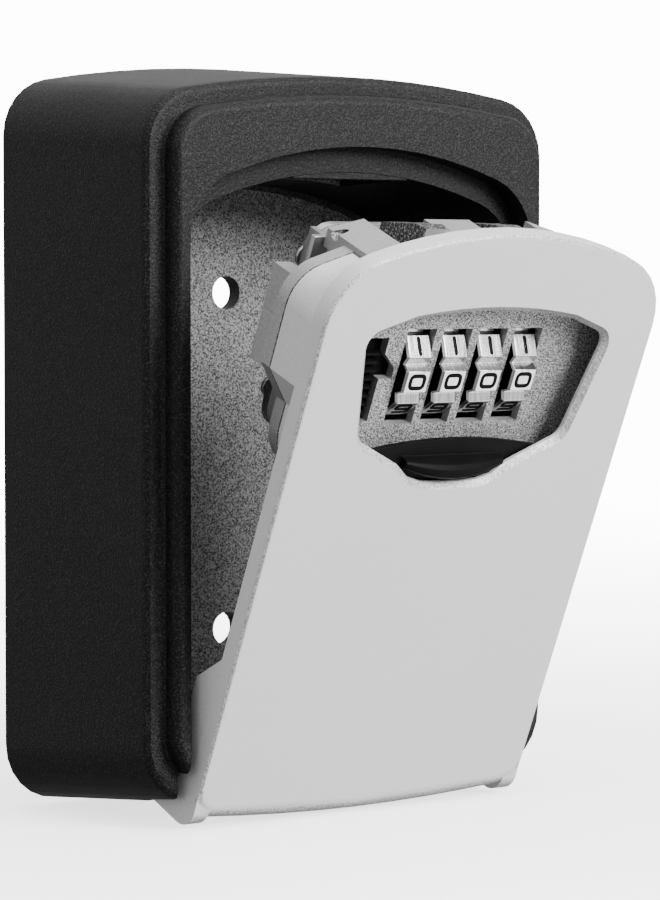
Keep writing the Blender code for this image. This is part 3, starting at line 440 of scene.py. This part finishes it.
def stroke(builder, points, closed, radius, frame_matrix):
    """A flattened round tube along a flat polyline, laid out by frame_matrix."""
    count = len(points)
    rings = []
    for index, here in enumerate(points):
        before = points[index - 1] if closed or index else here
        after = points[(index + 1) % count] if closed or index < count - 1 else here
        along = (after - before).normalized()
        across = Vector((along.y, -along.x))
        ring = []
        for side in range(STROKE_SIDES):
            angle = 2 * math.pi * side / STROKE_SIDES
            flat = here + across * radius * math.cos(angle)
            lift = STROKE_FLATNESS * radius * math.sin(angle)
            ring.append(builder.verts.new(frame_matrix @ Vector((flat.x, flat.y, lift))))
        rings.append(ring)
    pairs = list(zip(rings, rings[1:]))
    if closed:
        pairs.append((rings[-1], rings[0]))
    for first, second in pairs:
        for side in range(STROKE_SIDES):
            after = (side + 1) % STROKE_SIDES
            builder.faces.new((first[side], first[after], second[after], second[side]))
    if not closed:
        ends = ((rings[0], points[0] - points[1]), (rings[-1], points[-1] - points[-2]))
        for ring, outward in ends:
            close_end(builder, ring, outward.normalized() * radius, frame_matrix)


def close_end(builder, ring, reach, frame_matrix):
    """A rounded cap on the end of a stroke."""
    shift = frame_matrix.to_3x3() @ Vector((reach.x, reach.y, 0.0))
    middle = sum((vertex.co for vertex in ring), Vector()) / len(ring)
    waist = [builder.verts.new(middle + (vertex.co - middle) * CAP_WAIST + shift * CAP_WAIST_REACH)
             for vertex in ring]
    tip = builder.verts.new(middle + shift)
    for side in range(len(ring)):
        after = (side + 1) % len(ring)
        builder.faces.new((ring[side], ring[after], waist[after], waist[side]))
        builder.faces.new((waist[side], waist[after], tip))


def digit_frame(centre, digit):
    """Maps glyph coordinates onto a digit's face: across, up and out of the wheel."""
    angle = 2 * math.pi * digit / DIGITS
    out = FRONT * math.cos(angle) + UP * math.sin(angle)
    up = UP * math.cos(angle) - FRONT * math.sin(angle)
    matrix = Matrix((RIGHT, up, out)).transposed().to_4x4()
    matrix.translation = centre + out * (FACET_RADIUS + NUMERAL_LIFT)
    return matrix


def build_numerals(number, material):
    """The ten filled numerals of one wheel, as one piece."""
    builder = bmesh.new()
    centre = Vector(JOINTS[f"wheel_{number}_turn"]["pos_m"])
    for digit in range(DIGITS):
        matrix = digit_frame(centre, digit)
        for kind, *corners in GLYPHS[digit]:
            closed = kind == "loop"
            points = [Vector((x * DIGIT_HALF_WIDTH, y * DIGIT_HALF_HEIGHT)) for x, y in corners]
            path = rounded(points, STROKE_CORNER, closed)
            stroke(builder, path, closed, STROKE_RADIUS, matrix)
    bmesh.ops.recalc_face_normals(builder, faces=builder.faces)
    piece = make_piece(f"dial_numerals_{number}", builder, material)
    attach(piece, f"wheel_{number}")


def make_piece(name, builder, material):
    """A smooth-shaded object from a bmesh."""
    mesh = bpy.data.meshes.new(name)
    builder.to_mesh(mesh)
    builder.free()
    mesh.shade_smooth()
    mesh.materials.append(material)
    piece = bpy.data.objects.new(name, mesh)
    bpy.context.scene.collection.objects.link(piece)
    return piece


# ---- studio ----------------------------------------------------------------------------
def build_floor(material):
    """A round floor just under the lowest part of the box."""
    builder = bmesh.new()
    bmesh.ops.create_circle(builder, cap_ends=True, segments=FLOOR_SIDES, radius=FLOOR_RADIUS)
    floor = make_piece("studio_floor", builder, material)
    floor.location = (0.0, 0.0, cad_bounds[0][2] - FLOOR_DROP)
    floor.visible_glossy = False
    floor.visible_diffuse = False


def area_light(name, place, power):
    """A square soft light that looks at the box."""
    light = bpy.data.lights.new(name, "AREA")
    light.shape = "RECTANGLE"
    light.size, light.size_y = LAMP_SIZE
    light.energy = power
    item = bpy.data.objects.new(name, light)
    bpy.context.scene.collection.objects.link(item)
    item.location = place
    item.rotation_euler = (-Vector(place)).to_track_quat("-Z", "Y").to_euler()


def room_level(tree, coordinates, direction, low, high, start, end):
    """Brightness of the room by how far a ray runs along a direction."""
    along = tree.nodes.new("ShaderNodeVectorMath")
    along.operation = "DOT_PRODUCT"
    along.inputs[1].default_value = direction
    tree.links.new(coordinates.outputs["Generated"], along.inputs[0])
    level = tree.nodes.new("ShaderNodeMapRange")
    level.inputs["From Min"].default_value = low
    level.inputs["From Max"].default_value = high
    level.inputs["To Min"].default_value = start
    level.inputs["To Max"].default_value = end
    tree.links.new(along.outputs["Value"], level.inputs["Value"])
    return level.outputs["Result"]


def build_lights():
    """A white backdrop, a soft room with a low bright card, a front key and a top light."""
    world = bpy.data.worlds.new("studio")
    world.use_nodes = True
    tree = world.node_tree
    room = tree.nodes["Background"]
    room.inputs["Color"].default_value = WHITE
    coordinates = tree.nodes.new("ShaderNodeTexCoord")
    total = tree.nodes.new("ShaderNodeMath")
    tree.links.new(room_level(tree, coordinates, *OVERHEAD), total.inputs[0])
    tree.links.new(room_level(tree, coordinates, *LOW_CARD), total.inputs[1])
    tree.links.new(total.outputs["Value"], room.inputs["Strength"])
    backdrop = tree.nodes.new("ShaderNodeBackground")
    backdrop.inputs["Color"].default_value = WHITE
    backdrop.inputs["Strength"].default_value = BACKDROP_STRENGTH
    path = tree.nodes.new("ShaderNodeLightPath")
    choose = tree.nodes.new("ShaderNodeMixShader")
    tree.links.new(path.outputs["Is Camera Ray"], choose.inputs["Fac"])
    tree.links.new(room.outputs["Background"], choose.inputs[1])
    tree.links.new(backdrop.outputs["Background"], choose.inputs[2])
    tree.links.new(choose.outputs["Shader"], tree.nodes["World Output"].inputs["Surface"])
    bpy.context.scene.world = world
    area_light("key", KEY_PLACE, KEY_POWER)
    area_light("top", TOP_PLACE, TOP_POWER)


def build_camera():
    """The camera at the photographed angle."""
    camera = bpy.data.cameras.new("camera")
    camera.sensor_fit = "VERTICAL"
    camera.sensor_height = SENSOR_HEIGHT
    camera.lens = CAMERA_LENS
    camera.clip_start = NEAR_LIMIT
    item = bpy.data.objects.new("camera", camera)
    bpy.context.scene.collection.objects.link(item)
    level = math.cos(CAMERA_DIP)
    aim = Vector((math.sin(CAMERA_YAW) * level, math.cos(CAMERA_YAW) * level, -math.sin(CAMERA_DIP)))
    item.location = CAMERA_PLACE
    item.rotation_euler = aim.to_track_quat("-Z", "Y").to_euler()
    bpy.context.scene.camera = item


def main():
    """Finishes, softened edges, numerals, studio."""
    finishes = {
        "black_coat": black_powder_coat(), "silver_paint": silver_paint(),
        "silver_cast": silver_cast(), "chrome": chrome_wheel(), "steel": zinc_steel(),
        "cast_steel": dark_cast(), "brass": machined_brass(), "black_plastic": black_plastic()}
    slots = {row["node"]: row["material_slot"] for row in frame["record"]["subparts"]}
    for name, item in NODES.items():
        item.data.materials.clear()
        item.data.materials.append(finishes[slots[name]])
        smooth(item)
        soften(item, EDGE_WIDTHS.get(name, SMALL_EDGE_WIDTH))
    enamel = black_enamel()
    for number in range(1, WHEEL_COUNT + 1):
        build_numerals(number, enamel)
    build_floor(studio_floor())
    build_lights()
    build_camera()


main()
